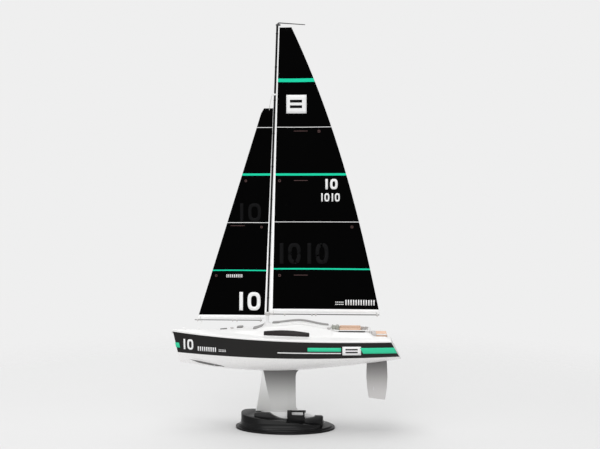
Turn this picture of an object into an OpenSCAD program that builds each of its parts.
// Radio controlled sailing yacht on a display stand.
// +X points to the stern, -Y to port and +Z up. The origin is the middle of the stand's underside.

/* [Hull] */
// Length of the deck, bow to transom
deck_len = 252; // [240:1:260]
// Widest half-breadth at the sheer
half_beam = 35; // [32:0.5:38]
// Half-breadth at the transom
stern_half = 27; // [24:0.5:30]
// Height of the canoe body's lowest point above the table
belly_z = 67; // [65:0.5:69]
// Sheer height at the transom
sheer_z = 104.5; // [103:0.5:106]
// Extra sheer height at the bow
bow_rise = 6; // [4:0.5:8]
// Moulding thickness
skin = 1.4; // [1.2:0.1:1.8]

/* [Rig] */
// Aft rake of the mast in degrees
mast_rake = 2; // [1:0.25:3]
// Radius of the carbon upper mast
mast_r = 1.2; // [1:0.1:1.4]
// Height of the mast's top above the table
mast_top_z = 463.5; // [460:0.5:470]
// Height of the main boom
boom_z = 132; // [131.5:0.5:134]
// Main boom's aft end
boom_end_x = 108.5; // [100:0.5:110]
// Height of the jib boom
jib_boom_z = 124.5; // [124:0.5:126]
// Sail cloth thickness
cloth = 0.5; // [0.4:0.1:0.8]

/* [Keel and rudder] */
// Largest radius of the ballast bulb
bulb_r = 7.5; // [6.5:0.25:7.5]
// Height of the bulb's axis
bulb_z = 13; // [12.5:0.25:13.75]
// Radius of the rudder stock
stock_r = 1.25; // [1:0.05:1.4]
// Length of the tiller arm and of the servo horn, pin to pin
crank = 9; // [8:0.5:9.5]

/* [Stand] */
// Length of the oval base
base_len = 115; // [110:1:120]
// Width of the oval base
base_w = 64; // [60:1:70]

/* [Hidden] */
$fn = 48;

bow_x = -131;                       // deck tip
stern_x = bow_x + deck_len;         // transom at the sheer
stem_rake = 13;                     // degrees
transom_rake = 29;                  // degrees
gap = 0.05;                         // running clearance between moving pieces
seam = 0.1;                         // space between fixed neighbours
mast_x = -21;                       // mast axis at mast_z
mast_z = 117;
stock_x = 102;                      // rudder stock axis
horn_x = 75;                        // rudder servo's output axis
winch_x = 30;                       // sail winch's output axis
arm_z = 101.2;                      // underside of the tiller, horn and winch arm
tray_z = 92;                        // top of the servo tray
jib_x = -95;                        // jib's swing axis at jib_ref_z
jib_ref_z = 130;
hook_z = 385.5;                     // forestay hook on the mast

// ---- hull form ----
function lerp(a, b, k) = a + (b - a) * k;
function clamp01(v) = max(0, min(1, v));
function smooth(v) = let (c = clamp01(v)) c * c * (3 - 2 * c);
function along(x) = (x - bow_x) / deck_len;
function sheer(t) = sheer_z + bow_rise * pow(1 - t, 2.6);
function beam(t) = t < 0.62
    ? 1.4 + (half_beam - 1.4) * (1 - pow(1 - t / 0.62, 1.9))
    : half_beam - (half_beam - stern_half) * pow((t - 0.62) / 0.38, 2);
function keel_line(t) = t < 0.45
    ? belly_z + 8.5 * pow(1 - t / 0.45, 2)
    : belly_z + 15.4 * pow((t - 0.45) / 0.55, 1.62);
// x of a hull point: the stem and the transom lean aft as they go down
function hull_x(t, z) = bow_x + deck_len * t
    + (sheer(t) - z) * (tan(stem_rake) * pow(1 - t, 4) + tan(transom_rake) * pow(t, 6));
// half section from the sheer (k = -1) round the keel (k = 0) to the other sheer (k = 1)
function section(t, k, off) = let (
        a = 90 * abs(k), b = beam(t) - off, z0 = keel_line(t) + off,
        y = sign(k) * b * pow(sin(a), 0.82),
        z = z0 + (sheer(t) - z0) * (1 - pow(cos(a), 0.9)))
    [hull_x(t, z), y, z];

stations = 30;
ribs = 18;
function ring(t, off) = [for (j = [0:ribs]) section(t, 2 * j / ribs - 1, off)];
// closer stations near the bow, where the form turns fastest
function spread(u) = 0.55 * u + 0.45 * u * u;
function skin_points(off, t0, t1) =
    [for (i = [0:stations]) each ring(lerp(t0, t1, spread(i / stations)), off)];
function quad(a, b, c, d) = [[a, b, c], [a, c, d]];
function skin_faces(base, flip) = [for (i = [0:stations - 1], j = [0:ribs - 1])
    let (a = base + i * (ribs + 1) + j, b = a + 1, c = b + ribs + 1, d = c - 1)
    each (flip ? quad(a, b, c, d) : quad(a, d, c, b))];

// ---- deck form ----
// trunk and cabin height on the centreline
function trunk(x) =
      5.0 * smooth((x + 92) / 56)
    + 5.6 * smooth((x + 38) / 20)       // windscreen
    + 3.4 * smooth((x + 16) / 34)       // crown of the cabin
    - 4.7 * smooth((x - 16) / 35)
    - 3.1 * smooth((x - 53) / 3)        // drop into the cockpit
    - 6.2 * smooth((x - 93) / 11);
// half-width of the trunk's flat top
function trunk_half(x) = 5 + 10.5 * smooth((x + 92) / 80);
function deck_z(x, y) = let (t = clamp01(along(x)), b = beam(t), s = min(1, abs(y) / b),
        w = min(trunk_half(x), b * 0.62), side = smooth((abs(y) - w) / 7))
    // the deck's crown runs out towards the transom
    sheer(t) + lerp(2.2 + 2.6 * smooth(b / 20) * (1 - s * s), 1.6, smooth((x - 114) / 8))
    + trunk(x) * (1 - side) * (1 - 0.1 * pow(abs(y) / w, 2) * (1 - side));

// a slab that follows the deck: corner points over a grid, from dz0 to dz1 above it
module deck_slab(x0, x1, nx, y0, y1, ny, dz0, dz1) {
    cols = ny + 1;
    grid = [for (i = [0:nx], j = [0:ny])
        let (x = lerp(x0, x1, i / nx), y = lerp(y0, y1, j / ny)) [x, y, deck_z(x, y)]];
    n = len(grid);
    lo = [for (p = grid) p + [0, 0, dz0]];
    hi = [for (p = grid) p + [0, 0, dz1]];
    faces = [
        for (i = [0:nx - 1], j = [0:ny - 1]) let (a = i * cols + j)
            each concat(quad(a, a + cols, a + cols + 1, a + 1),
                        quad(n + a, n + a + 1, n + a + cols + 1, n + a + cols)),
        for (i = [0:nx - 1]) let (a = i * cols, b = a + cols, c = a + ny, d = c + cols)
            each concat(quad(a, n + a, n + b, b), quad(c, d, n + d, n + c)),
        for (j = [0:ny - 1]) let (a = j, c = nx * cols + j)
            each concat(quad(a, a + 1, n + a + 1, n + a), quad(c, n + c, n + c + 1, c + 1))];
    polyhedron(concat(lo, hi), faces, convexity = 6);
}

// rounded rectangle centred on the origin, from plain shapes
module square_round(l, w, r) {
    square([l - 2 * r, w], center = true);
    square([l, w - 2 * r], center = true);
    for (sx = [-1, 1], sy = [-1, 1]) translate([sx * (l / 2 - r), sy * (w / 2 - r)]) circle(r);
}
module along_mast(z) {
    h = (z - mast_z) / cos(mast_rake);
    translate([mast_x, 0, mast_z]) rotate([0, mast_rake, 0]) translate([0, 0, h]) children();
}
function mast_at(z) = mast_x + (z - mast_z) * tan(mast_rake);

// ================= stand =================
seat_z = 3.4;       // underside of the cradle, let into the base
tier_x = -3;        // middle of the upper tier
tier_z = 12.2;      // height of its sloping top at x = 0
tier_slope = 6.4;   // degrees down towards the stern
cradle_x0 = -34.5;
cradle_x1 = 43.7;
cradle_w = 26;
// closed oval; a power above 2 fills its corners out
function bend(v, power) = sign(v) * pow(abs(v), 2 / power);
module oval(l, w, power = 2) {
    polygon([for (a = [0:3:357]) [l / 2 * bend(cos(a), power), w / 2 * bend(sin(a), power)]]);
}
module stand_base() {
    color([0.09, 0.09, 0.09]) difference() {
        union() {
            linear_extrude(2.4) oval(base_len, base_w);
            translate([0, 0, 2.4]) linear_extrude(1.6) oval(base_len - 6, base_w - 6);
            // upper tier, cut to slope down towards the stern
            difference() {
                translate([tier_x, 0, 4]) linear_extrude(16)
                    oval(base_len - 19, base_w - 14, 2.6);
                translate([0, 0, tier_z]) rotate([0, tier_slope, 0])
                    translate([-80, -50, 0]) cube([160, 100, 30]);
            }
        }
        // flat seat for the cradle, let into the tier
        translate([cradle_x0 - seam, -cradle_w / 2 - seam, seat_z - seam])
            cube([cradle_x1 - cradle_x0 + 2 * seam, cradle_w + 2 * seam, 20]);
        for (x = [-30, 30]) translate([x, 0, -1]) cylinder(h = 10, r = 1.6);
        for (x = [-30, 30]) translate([x, 0, -1]) cylinder(h = 2.4, r = 3.2);
        for (x = [-36, 36], y = [-16, 16]) translate([x, y, -1]) cylinder(h = 2, r = 4.1);
    }
}
// top edge of the cradle's walls between the two end blocks
function wall_top(x) = 12.4 + 7.2 * pow(max(0, 2 - x) / 19, 2) + 3.2 * pow(max(0, x - 9) / 25.5, 2);
module stand_cradle() {
    color([0.1, 0.1, 0.1]) difference() {
        union() {
            // port wall, with a block at each end
            rotate([90, 0, 0]) linear_extrude(cradle_w / 2)
                polygon(concat([[cradle_x0, seat_z], [cradle_x1, seat_z], [cradle_x1, 15.8],
                    [cradle_x1 - 1, 17], [34.5, 17]],
                    [for (x = [34.5:-2.575:-17]) [x, wall_top(x)]],
                    [[cradle_x0 + 1, 19.8], [cradle_x0, 18.8]]));
            // starboard wall, lower behind its front block
            translate([0, cradle_w / 2, 0]) rotate([90, 0, 0]) linear_extrude(cradle_w / 2)
                polygon(concat([[cradle_x0, seat_z], [cradle_x1, seat_z], [cradle_x1, 11]],
                    [for (x = [10:-3:-17]) [x, max(11, wall_top(x) - 1.4)]],
                    [[cradle_x0 + 1, 18.4], [cradle_x0, 17.4]]));
        }
        // channel for the ballast bulb, open at the top
        translate([-37, 0, bulb_z]) rotate([0, 90, 0]) cylinder(h = 90, r = bulb_r + 0.4);
        translate([-37, -bulb_r - 0.4, bulb_z]) cube([90, 2 * bulb_r + 0.8, 20]);
        // side notches for the clips
        for (s = [-1, 1]) translate([clip_x - seam, s * 11.5 - 1.6, seat_z + 1])
            cube([clip_l + 2 * seam, 3.2, 30]);
        for (x = [-30, 30]) translate([x, 0, 2]) cylinder(h = 2.4, r = 1.15);
    }
}
clip_x = 3.3;
clip_l = 19.9;
clip_top = 17.4;
clip_post = 22.9;   // top of the post at its front end
module bulb_clip() {
    // two springy cheeks, each with a post at its front end
    color([0.08, 0.08, 0.08]) for (s = [-1, 1]) translate([clip_x, s * 11.5 - 1.45, seat_z + 1.1]) {
        cube([clip_l, 2.9, clip_top - seat_z - 1.1]);
        cube([5.2, 2.9, clip_post - seat_z - 1.1]);
    }
}
module stand_feet() {
    color([0.2, 0.2, 0.2]) for (x = [-36, 36], y = [-16, 16])
        translate([x, y, 0]) cylinder(h = 0.9, r = 4);
}
module stand_screws() {
    color("silver") for (x = [-30, 30]) translate([x, 0, 0.4]) {
        difference() {
            cylinder(h = 0.9, r = 2.9);
            translate([0, 0, -1]) cylinder(h = 1.5, r = 1, $fn = 6);
        }
        translate([0, 0, 0.6]) cylinder(h = 3, r = 1.1);
    }
}

// ================= hull =================
module hull_shell() {
    n = (stations + 1) * (ribs + 1);
    in0 = 0.012;
    in1 = 1 - skin / deck_len;
    pts = concat(skin_points(0, 0, 1), skin_points(skin, in0, in1));
    outer_cap0 = [for (j = [0:ribs]) j];
    outer_cap1 = [for (j = [ribs:-1:0]) stations * (ribs + 1) + j];
    inner_cap0 = [for (j = [ribs:-1:0]) n + j];
    inner_cap1 = [for (j = [0:ribs]) n + stations * (ribs + 1) + j];
    rim = [for (i = [0:stations - 1], e = [0, ribs])
        let (a = i * (ribs + 1) + e, b = a + ribs + 1)
        each (e == 0 ? quad(a, b, n + b, n + a) : quad(a, n + a, n + b, b))];
    last = stations * (ribs + 1);
    ends = concat(quad(0, n, n + ribs, ribs), quad(last, last + ribs, n + last + ribs, n + last));
    color([0.93, 0.92, 0.91]) difference() {
        polyhedron(pts, concat(skin_faces(0, false), skin_faces(n, true), rim, ends,
            [outer_cap0, outer_cap1, inner_cap0, inner_cap1]), convexity = 8);
        translate([stock_x, 0, 60]) cylinder(h = 40, r = 2.6);
        translate([-8, 0, 50]) cylinder(h = 30, r = 1.8);
    }
}
module deck_shell() {
    nx = 62;
    ny = 22;
    cols = ny + 1;
    function across(j) = sin(90 * (2 * j / ny - 1)) * 0.35 + (2 * j / ny - 1) * 0.65;
    top = [for (i = [0:nx], j = [0:ny])
        let (x = lerp(bow_x, stern_x, i / nx), y = across(j) * beam(clamp01(along(x))))
        [x, y, deck_z(x, y)]];
    under = [for (i = [0:nx], j = [0:ny]) let (p = top[i * cols + j], t = clamp01(along(p[0])))
        [p[0], p[1], (j == 0 || j == ny) ? sheer(t) + seam : p[2] - skin]];
    n = len(top);
    faces = [
        for (i = [0:nx - 1], j = [0:ny - 1]) let (a = i * cols + j)
            each concat(quad(a, a + 1, a + cols + 1, a + cols),
                        quad(n + a, n + a + cols, n + a + cols + 1, n + a + 1)),
        for (i = [0:nx - 1]) let (a = i * cols, b = a + cols, c = a + ny, d = c + cols)
            each concat(quad(a, b, n + b, n + a), quad(c, n + c, n + d, d)),
        for (j = [0:ny - 1]) let (a = j, c = nx * cols + j)
            each concat(quad(a, n + a, n + a + 1, a + 1), quad(c, c + 1, n + c + 1, n + c))];
    color([0.97, 0.97, 0.97]) difference() {
        polyhedron(concat(top, under), faces, convexity = 8);
        translate([mast_x, 0, 95]) cylinder(h = 40, r = 3.4);                 // mast step
        translate([cabin_hatch_x, 0, 100]) linear_extrude(40) square_round(58, 19, 4);
        translate([cockpit_x, 0, 95]) linear_extrude(40) square_round(tub_l, tub_w, 5);
        translate([stern_well_x, 0, 95]) linear_extrude(40) square_round(18.2, 24, 3);
        for (p = fairlead_spots) translate([p[0], p[1], 95]) cylinder(h = 40, r = 1.55);
        for (p = eye_spots) translate([p[0], p[1], 95]) cylinder(h = 40, r = 0.65);
    }
}
cabin_hatch_x = 20;
cockpit_x = 77;
stern_well_x = 108.3;
// place of each fairlead, and its flange's height over the foot
fairlead_spots = [[-62, 0, 2.9], [51, -15.2, 3.0]];
eye_spots = [[-100.5, 0], [-118, 0]];
module bow_bumper() {
    color([0.9, 0.9, 0.9]) translate([bow_x - 0.15, 0, sheer(0) - 2.2]) difference() {
        translate([-0.9, 0, 0]) cylinder(h = 3.6, r = 1.35);
        translate([-0.1, -5, -30]) cube([10, 10, 60]);
    }
}
// half-breadth at which the cabin side has height z
function side_y(x, z, lo, hi, n = 14) = n == 0 ? (lo + hi) / 2
    : let (m = (lo + hi) / 2)
      deck_z(x, m) > z ? side_y(x, z, m, hi, n - 1) : side_y(x, z, lo, m, n - 1);
// window height from its foot (v = 0) to its arched top (v = 1)
function window_z(k, v) = lerp(110.3 - 1.2 * k, 114.4 - 1.3 * k + 1.9 * sin(180 * k), v);
win_rows = 3;
function win_id(i, v, d) = (i * (win_rows + 1) + v) * 2 + d;
module cabin_windows() {
    n = 16;
    color([0.05, 0.05, 0.05]) for (s = [-1, 1]) {
        pts = [for (i = [0:n], v = [0:win_rows], d = [0, 1])
            let (k = i / n, x = lerp(-22.6, 28.6, k), w = trunk_half(x),
                y = side_y(x, window_z(k, v / win_rows), w, w + 7))
            [x, s * (y + d * 0.7), deck_z(x, y) + 0.25]];
        faces = concat(
            [for (i = [0:n - 1], v = [0:win_rows - 1]) each concat(
                quad(win_id(i, v, 1), win_id(i, v + 1, 1), win_id(i + 1, v + 1, 1), win_id(i + 1, v, 1)),
                quad(win_id(i, v, 0), win_id(i + 1, v, 0), win_id(i + 1, v + 1, 0), win_id(i, v + 1, 0)))],
            [for (i = [0:n - 1]) let (v = win_rows) each concat(
                quad(win_id(i, 0, 0), win_id(i, 0, 1), win_id(i + 1, 0, 1), win_id(i + 1, 0, 0)),
                quad(win_id(i, v, 0), win_id(i + 1, v, 0), win_id(i + 1, v, 1), win_id(i, v, 1)))],
            [for (v = [0:win_rows - 1]) each concat(
                quad(win_id(0, v, 0), win_id(0, v + 1, 0), win_id(0, v + 1, 1), win_id(0, v, 1)),
                quad(win_id(n, v, 0), win_id(n, v, 1), win_id(n, v + 1, 1), win_id(n, v + 1, 0)))]);
        polyhedron(pts, s < 0 ? faces : [for (f = faces) [f[2], f[1], f[0]]]);
    }
}
module front_window() {
    color([0.3, 0.31, 0.32]) difference() {
        deck_slab(-36.5, -22.5, 8, -11, 11, 8, 0.12, 0.8);
        translate([mast_x, 0, 100]) cylinder(h = 40, r = 3.5);
    }
}
module fore_hatch() {
    color([0.6, 0.6, 0.6]) deck_slab(-56, -49, 3, -4.5, 4.5, 4, 0.12, 2.2);
}
module cabin_hatch() {
    // roof panel with a plug that drops into the opening
    color([0.95, 0.95, 0.95]) {
        deck_slab(cabin_hatch_x - 35, cabin_hatch_x + 30.5, 16, -12, 12, 6, 0.25, 1.3);
        deck_slab(cabin_hatch_x - 26, cabin_hatch_x + 26, 12, -8.6, 8.6, 4, -1.4, 0.3);
    }
}
tub_l = 40;         // cockpit well, inside the coaming
tub_w = 31;
rim_z = 115.6;      // top of the cockpit's rim
seat_top = 117.6;   // top of the teak seats
sole_z = 106.9;     // cockpit sole
module cockpit_tub() {
    color([0.94, 0.94, 0.94]) translate([cockpit_x, 0, 0]) difference() {
        translate([0, 0, 105.6]) linear_extrude(rim_z - 105.6)
            square_round(tub_l - 0.4, tub_w - 0.4, 4.8);
        translate([0, 0, sole_z - seam]) linear_extrude(20) square_round(tub_l - 3, tub_w - 3, 3.6);
    }
}
module slats(l, w, z) {
    for (y = [-w / 2 + 2:2:w / 2 - 1]) translate([-l / 2 - 1, y - 0.2, z - 0.4]) cube([l + 2, 0.4, 1]);
}
module cockpit_seats() {
    color([0.85, 0.68, 0.54]) translate([75, 0, 0]) {
        for (s = [-1, 1]) translate([0, s * 9.4, sole_z]) difference() {
            linear_extrude(seat_top - sole_z) square_round(24, 8.6, 1.5);
            slats(24, 8.6, seat_top - sole_z);
        }
        translate([0, 0, sole_z]) difference() {
            translate([-12, -4.9, 0]) cube([24, 9.8, 1]);
            slats(24, 9.8, 1);
        }
    }
}
module cockpit_console() {
    color([0.6, 0.61, 0.6]) translate([58.8, -10.4, sole_z]) difference() {
        rotate([90, 0, 0]) translate([0, 0, -20.8]) linear_extrude(20.8)
            polygon([[0, 0], [3.9, 0], [3.9, 10], [2.6, 12], [0, 12]]);
        translate([2.6, 5, 3]) cube([4, 10.8, 4]);
    }
}
module winch_posts() {
    color([0.55, 0.56, 0.56]) for (x = [89.4, 93.6], s = [-1, 1])
        translate([x, s * 9, sole_z]) rotate_extrude()
            polygon([[0, 0], [1.9, 0], [1.9, 4], [1.2, 5.2], [1.2, 8], [1.8, 8.8], [1.8, 10], [0, 10]]);
}
module stern_step() {
    // one low step, slatted on top
    color([0.85, 0.68, 0.54]) translate([110.65, 0, 106.2]) difference() {
        translate([-6, -10, 0]) cube([12, 20, 5.6]);
        slats(12, 20, 5.6);
    }
}
module stern_block() {
    color([0.72, 0.73, 0.73]) {
        translate([99.5, -10, 106]) cube([5, 20, 6]);
        translate([stern_well_x, 0, 105]) linear_extrude(1.1) square_round(17.8, 23.6, 2.8);
    }
}
module deck_eyes() {
    color("silver") for (p = eye_spots) translate([p[0], p[1], deck_z(p[0], 0) - 3]) {
        cylinder(h = 4, r = 0.6);
        translate([0, 0, 3.02]) cylinder(h = 0.5, r = 1.2);
        translate([0, 0, 4.8]) rotate([90, 0, 0])
            rotate_extrude() translate([1, 0]) circle(0.35, $fn = 20);
    }
}
module fairleads() {
    color("silver") for (p = fairlead_spots) translate([p[0], p[1], deck_z(p[0], p[1]) - 2.4])
        difference() {
            union() {
                cylinder(h = 3.6, r = 1.5);
                translate([0, 0, p[2]]) cylinder(h = 0.7, r = 2.1);
            }
            translate([0, 0, -1]) cylinder(h = 8, r = 0.7);
        }
}

// ================= keel and rudder =================
// symmetric foil section of unit chord, thickness k, from the leading edge round and back
function foil_half(u) = 1.485 * sqrt(u) - 0.63 * u - 1.758 * u * u
    + 1.4215 * pow(u, 3) - 0.518 * pow(u, 4);
function foil(n, k) = concat(
    [for (i = [0:n]) let (u = (1 - cos(180 * i / n)) / 2) [u, k * foil_half(u) + 0.012]],
    [for (i = [n:-1:0]) let (u = (1 - cos(180 * i / n)) / 2) [u, -k * foil_half(u) - 0.012]]);
// lofts a foil section through levels of [z, leading edge x, chord, thickness ratio]
module foil_loft(levels) {
    n = 12;
    m = 2 * n + 2;
    pts = [for (l = levels, p = foil(n, l[3])) [l[1] + p[0] * l[2], p[1] * l[2], l[0]]];
    top = (len(levels) - 1) * m;
    faces = concat(
        [for (i = [0:len(levels) - 2], j = [0:m - 1])
            let (a = i * m + j, b = i * m + (j + 1) % m)
            each quad(a, a + m, b + m, b)],
        [[for (j = [0:m - 1]) j], [for (j = [m - 1:-1:0]) top + j]]);
    polyhedron(pts, faces, convexity = 4);
}
fin_top = 66.8;
fin_foot = bulb_z + bulb_r - 1.2;
module keel_fin() {
    color([0.86, 0.86, 0.86]) difference() {
        foil_loft([[fin_foot, -34.4, 51, 0.10], [fin_foot + 2, -34.1, 48.4, 0.10],
            [fin_foot + 5.5, -33.5, 46, 0.10], [42, -30.8, 43, 0.10], [60, -28, 40.2, 0.11],
            [64.5, -27.4, 40.6, 0.12], [fin_top, -27.6, 43.2, 0.13]]);
        translate([-8, 0, 15]) cylinder(h = 60, r = 1.35);
    }
}
module keel_bulb() {
    // torpedo of revolution about the X axis
    n = 18;
    len_b = 70;
    function body(u) = bulb_r * pow(sin(180 * pow(u, 0.72)), 0.62);
    color([0.8, 0.8, 0.8]) difference() {
        translate([-34, 0, bulb_z]) rotate([0, 90, 0]) rotate_extrude($fn = 64)
            polygon(concat([[0, 0]], [for (i = [1:n - 1]) [body(i / n), len_b * i / n]],
                [[0, len_b]]));
        // saddle for the fin's foot and the hole for the keel rod
        translate([-60, -20, fin_foot - seam]) cube([120, 40, 20]);
        translate([-8, 0, bulb_z - 3]) cylinder(h = 30, r = 1.35);
    }
}
module keel_bolt() {
    color("silver") {
        translate([-8, 0, bulb_z - 2]) cylinder(h = 90 - bulb_z, r = 1.25);
    }
}
module keel_nut() {
    color("silver") translate([-8, 0, 84.2]) difference() {
        cylinder(h = 2.2, r = 2.9, $fn = 6);
        translate([0, 0, -1]) cylinder(h = 5, r = 1.3);
    }
}
module keel_box() {
    color([0.85, 0.85, 0.85]) difference() {
        union() {
            translate([-27, -6, 73]) cube([40, 12, 11]);
            translate([mast_x, 0, 83.9]) cylinder(h = 15, r = 4.4);
        }
        translate([-8, 0, 60]) cylinder(h = 40, r = 1.35);
        translate([-24, -4, 70]) cube([13, 8, 11]);
        translate([-5, -4, 70]) cube([15, 8, 11]);
        along_mast(88) cylinder(h = 20, r = 1.72);
    }
}
module rudder_tube() {
    color("gold") difference() {
        translate([stock_x, 0, 78.4]) cylinder(h = 19, r = 2.5);
        translate([stock_x, 0, 75]) cylinder(h = 30, r = stock_r + gap);
    }
}
module rudder_blade() {
    color([0.85, 0.85, 0.85]) difference() {
        foil_loft([[32, 97.2, 17.2, 0.09], [36.4, 96.3, 19.2, 0.10], [48, 94.7, 22.6, 0.105],
            [60, 94.2, 23.8, 0.11], [70, 94.6, 23, 0.115], [83, 95.2, 21.6, 0.12]]);
        // its top edge runs parallel to the hull above it, and its tip slopes down aft
        translate([94.4, -10, 76.1]) rotate([0, -8, 0]) translate([-10, 0, 0]) cube([50, 20, 20]);
        translate([97, -10, 36.3]) rotate([0, 7.4, 0]) translate([-10, 0, -20]) cube([50, 20, 20]);
        translate([stock_x, 0, 45]) cylinder(h = 40, r = stock_r + 0.02);
    }
}
module rudder_stock() {
    color("silver") translate([stock_x, 0, 45.05]) cylinder(h = 58.5, r = stock_r);
}
// hub and arm with one crank pin, the same for tiller and servo horn
module crank_arm(hub_r, shaft_r) {
    difference() {
        union() {
            cylinder(h = 2.2, r = hub_r);
            translate([-1.6, 0, 0]) cube([3.2, crank, 1.6]);
            translate([0, crank, 0]) cylinder(h = 1.6, r = 2);
        }
        translate([0, 0, -1]) cylinder(h = 8, r = shaft_r);
    }
    translate([0, crank, 1.6]) cylinder(h = 1.7, r = 0.8);
}
module tiller_arm() {
    color([0.15, 0.15, 0.15]) translate([stock_x, 0, arm_z]) crank_arm(3, stock_r + 0.02);
}
module servo_horn() {
    color([0.95, 0.95, 0.95]) translate([horn_x, 0, arm_z]) crank_arm(3.2, 1.6 + gap);
}
module pushrod() {
    color("silver") translate([0, crank, arm_z + 1.65]) difference() {
        union() {
            for (x = [horn_x, stock_x]) translate([x, 0, 0]) cylinder(h = 1.2, r = 1.7);
            translate([horn_x, -0.6, 0]) cube([stock_x - horn_x, 1.2, 1.2]);
        }
        for (x = [horn_x, stock_x]) translate([x, 0, -1]) cylinder(h = 4, r = 0.8 + gap);
    }
}

// ================= rig =================
module mast_foot() {
    color([0.95, 0.95, 0.95]) difference() {
        along_mast(89) cylinder(h = 45.4, r = 1.7);
        along_mast(120) cylinder(h = 20, r = mast_r + 0.01);
    }
}
module mast_tube() {
    color([0.12, 0.12, 0.13]) along_mast(120.1)
        cylinder(h = (mast_top_z - 120.1) / cos(mast_rake), r = mast_r);
}
module mast_collar() {
    color([0.75, 0.75, 0.75]) along_mast(hook_z - 3) difference() {
        union() {
            cylinder(h = 6, r = 1.9);
            translate([-3.6, -0.5, 1]) cube([3, 1, 2.4]);
        }
        translate([0, 0, -1]) cylinder(h = 9, r = mast_r + 0.01);
    }
}
module masthead_crane() {
    color([0.4, 0.4, 0.42]) translate([mast_at(mast_top_z), 0, mast_top_z + 0.2]) {
        translate([-1.6, -1.3, 0]) cube([5.2, 2.6, 1.6]);
        rotate([90, 0, 0]) translate([0, 0, -0.5]) linear_extrude(1)
            polygon([[-1, 1.6], [1.5, 3.8], [32, 2.4], [32, 1.6], [3, 2.5], [1, 1.6]]);
    }
}
module mast_step() {
    color([0.9, 0.9, 0.9]) difference() {
        translate([mast_x, 0, 112]) cylinder(h = 10.4, r = 3.3);
        along_mast(90) cylinder(h = 60, r = 1.72);
    }
}
module gooseneck() {
    color([0.7, 0.7, 0.7]) along_mast(boom_z) difference() {
        union() {
            translate([0, 0, -1.5]) cylinder(h = 3, r = 3);
            translate([0, -0.9, -0.9]) cube([6.2, 1.8, 1.8]);
        }
        translate([0, 0, -5]) cylinder(h = 12, r = 1.7 + gap);
    }
}
boom_r = 0.65;
jib_boom_r = 0.55;
module main_boom() {
    x0 = -14.2;
    color([0.55, 0.56, 0.57]) translate([x0, 0, boom_z - 0.2]) rotate([0, 90, 0])
        cylinder(h = boom_end_x - x0, r = boom_r);
}
module boom_fittings() {
    color([0.5, 0.5, 0.5]) for (x = [-1.5, 30, 34.5, 105]) translate([x, 0, boom_z - 0.2])
        difference() {
            union() {
                rotate([0, 90, 0]) cylinder(h = 2, r = boom_r + 0.4);
                translate([0.4, -0.4, -2]) cube([1.2, 0.8, 1.3]);
            }
            translate([-1, 0, 0]) rotate([0, 90, 0]) cylinder(h = 5, r = boom_r + 0.01);
        }
}
// sail outline heights
main_head_z = 462.4;
main_foot_z = 133.6;
function leech_x(z) = let (k = (z - main_foot_z) / (main_head_z - main_foot_z))
    lerp(boom_end_x + 0.2, 7.4, k) + 11 * 4 * k * (1 - k) * (0.77 + 0.46 * k);
module mainsail() {
    n = 14;
    color([0.07, 0.07, 0.07]) translate([0, cloth / 2, 0]) rotate([90, 0, 0]) linear_extrude(cloth)
        polygon(concat(
            [[mast_at(main_foot_z) + 3.2, main_foot_z], [mast_at(main_head_z) + 2.9, main_head_z]],
            [for (i = [n:-1:0]) let (z = lerp(main_foot_z, main_head_z, i / n)) [leech_x(z), z]]));
}
module luff_rings() {
    color([0.92, 0.92, 0.92]) for (z = [150:38:462]) along_mast(z) difference() {
        union() {
            cylinder(h = 1, r = mast_r + 0.9);
            translate([0.5, -0.8, 0]) cube([2.2, 1.6, 1]);
        }
        translate([0, 0, -1]) cylinder(h = 4, r = mast_r + gap);
    }
}
// the jib swings about a line from the deck swivel to the mast hook
jib_lean = atan((mast_at(hook_z) - 3.2 - jib_x) / (hook_z - jib_ref_z));
module jib_boom() {
    color([0.6, 0.6, 0.6]) translate([-105.5, 0, jib_boom_z]) rotate([0, 90, 0])
        cylinder(h = 78.5, r = jib_boom_r);
}
module jib_fittings() {
    color([0.5, 0.5, 0.5]) for (x = [-103, -62, -57, -29.5]) translate([x, 0, jib_boom_z])
        difference() {
            union() {
                rotate([0, 90, 0]) cylinder(h = 1.8, r = jib_boom_r + 0.4);
                translate([0.4, -0.4, -1.8]) cube([1, 0.8, 1.2]);
            }
            translate([-1, 0, 0]) rotate([0, 90, 0]) cylinder(h = 5, r = jib_boom_r + 0.01);
        }
}
module jib_sail() {
    foot = 126;
    head = 369.3;
    n = 10;
    function luff(z) = jib_x - 7.2 + (z - foot) * tan(jib_lean);
    function aft(z) = let (k = (z - foot) / (head - foot)) lerp(-25.4, -15.6, k);
    color([0.07, 0.07, 0.07]) translate([0, cloth / 2, 0]) rotate([90, 0, 0]) linear_extrude(cloth)
        polygon(concat([[luff(foot), foot], [luff(head - 3), head - 3], [luff(head) + 1.6, head]],
            [for (i = [n:-1:0]) let (z = lerp(foot, head, i / n)) [aft(z), z]]));
}
module jib_swivel() {
    // wire from the boom down towards the deck eye
    dx = tan(jib_lean);
    color("silver") translate([jib_x + (jib_boom_z - 0.75 - jib_ref_z) * dx, 0, jib_boom_z - 0.75])
        rotate([0, jib_lean, 0]) translate([0, 0, -6.3]) cylinder(h = 6.2, r = 0.5);
}

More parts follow.
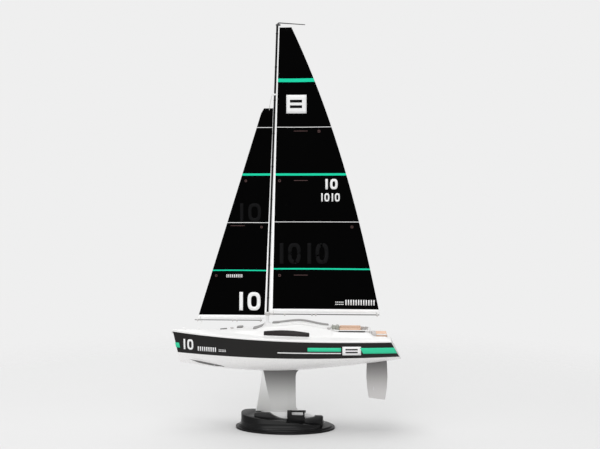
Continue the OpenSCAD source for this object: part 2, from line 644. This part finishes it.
// ================= inside =================
// places of the two servos: output axis and which way the case runs from it
servos = [[winch_x, 1], [horn_x, -1]];
module at_screws() {
    for (v = servos, e = [-8.1, 19.9]) translate([v[0] + v[1] * e, 0, tray_z]) children();
}
module servo_tray() {
    color([0.8, 0.8, 0.8]) difference() {
        translate([18, -26.5, tray_z - 1.6]) cube([70, 53, 1.6]);
        for (v = servos) translate([v[0] + v[1] * 5.9 - 11.7, -6.3, 80]) cube([23.4, 12.6, 20]);
        at_screws() translate([0, 0, -10]) cylinder(h = 20, r = 0.8);
    }
}
module tray_screws() {
    color("silver") at_screws() {
        translate([0, 0, 1.3]) cylinder(h = 1.2, r = 1.6);
        translate([0, 0, -4]) cylinder(h = 5.4, r = 0.75);
    }
}
module servo_case(x, side) {
    translate([x, 0, 0]) difference() {
        union() {
            translate([side * 5.9 - 11.5, -6, tray_z - 14]) cube([23, 12, 21.4]);
            translate([side * 5.9 - 16.1, -6, tray_z + seam]) cube([32.2, 12, 1.1]);
            translate([0, 0, tray_z + 7]) cylinder(h = 1.7, r = 4.6);
            translate([0, 0, tray_z + 7.4]) cylinder(h = 3.6, r = 1.6);
        }
        for (e = [-8.1, 19.9]) translate([side * e, 0, 80]) cylinder(h = 20, r = 0.8);
    }
}
module rudder_servo() { color([0.2, 0.35, 0.75]) servo_case(horn_x, -1); }
module sail_winch() { color([0.2, 0.35, 0.75]) servo_case(winch_x, 1); }
module winch_arm() {
    color([0.95, 0.95, 0.95]) translate([winch_x, 0, arm_z]) difference() {
        union() {
            cylinder(h = 2.2, r = 3.2);
            translate([0, -1.5, 0]) cube([20, 3, 1.5]);
            translate([20, 0, 0]) cylinder(h = 1.5, r = 2);
        }
        translate([0, 0, -1]) cylinder(h = 8, r = 1.6 + gap);
        translate([20, 0, -1]) cylinder(h = 8, r = 0.7);
    }
}
module receiver() {
    color([0.1, 0.4, 0.2]) translate([20, -9, 73.8]) {
        cube([24, 18, 1]);
        translate([3, 3, 1]) cube([7, 7, 1.2]);
        translate([14, 3, 1]) cube([6, 10, 2.6]);
    }
}
module antenna() {
    color([0.1, 0.1, 0.1]) translate([19.9, 7.5, 74.6]) rotate([0, -90, 0]) cylinder(h = 42, r = 0.45);
}
module battery_pack() {
    color([0.2, 0.45, 0.3]) for (y = [-5.35, 5.35], z = [80, 90.7]) translate([-78, y, z])
        rotate([0, 90, 0]) {
            cylinder(h = 43, r = 5.25);
            translate([0, 0, -1]) cylinder(h = 1.2, r = 1.8);
        }
}
switch_x = -2;
module switch_body() {
    color([0.12, 0.12, 0.12]) translate([switch_x, 7, 100]) difference() {
        cube([12, 6, 6]);
        translate([2.5, 1.5, 3]) cube([7, 3, 5]);
    }
}
module switch_knob() {
    color([0.85, 0.2, 0.15]) translate([switch_x + 3.0, 8.6, 103.05]) {
        cube([2.6, 2.8, 2]);
        translate([0.5, 0.5, 2]) cube([1.6, 1.8, 2.6]);
    }
}

stand_base();
stand_cradle();
bulb_clip();
stand_feet();
stand_screws();
hull_shell();
deck_shell();
bow_bumper();
cabin_windows();
front_window();
fore_hatch();
cockpit_tub();
cockpit_seats();
cockpit_console();
winch_posts();
stern_step();
stern_block();
deck_eyes();
fairleads();
cabin_hatch();
keel_fin();
keel_bulb();
keel_bolt();
keel_nut();
keel_box();
rudder_tube();
rudder_blade();
rudder_stock();
tiller_arm();
mast_foot();
mast_tube();
mast_collar();
masthead_crane();
mast_step();
main_boom();
gooseneck();
boom_fittings();
mainsail();
luff_rings();
jib_boom();
jib_fittings();
jib_sail();
jib_swivel();
servo_tray();
tray_screws();
rudder_servo();
servo_horn();
pushrod();
sail_winch();
winch_arm();
receiver();
antenna();
battery_pack();
switch_body();
switch_knob();
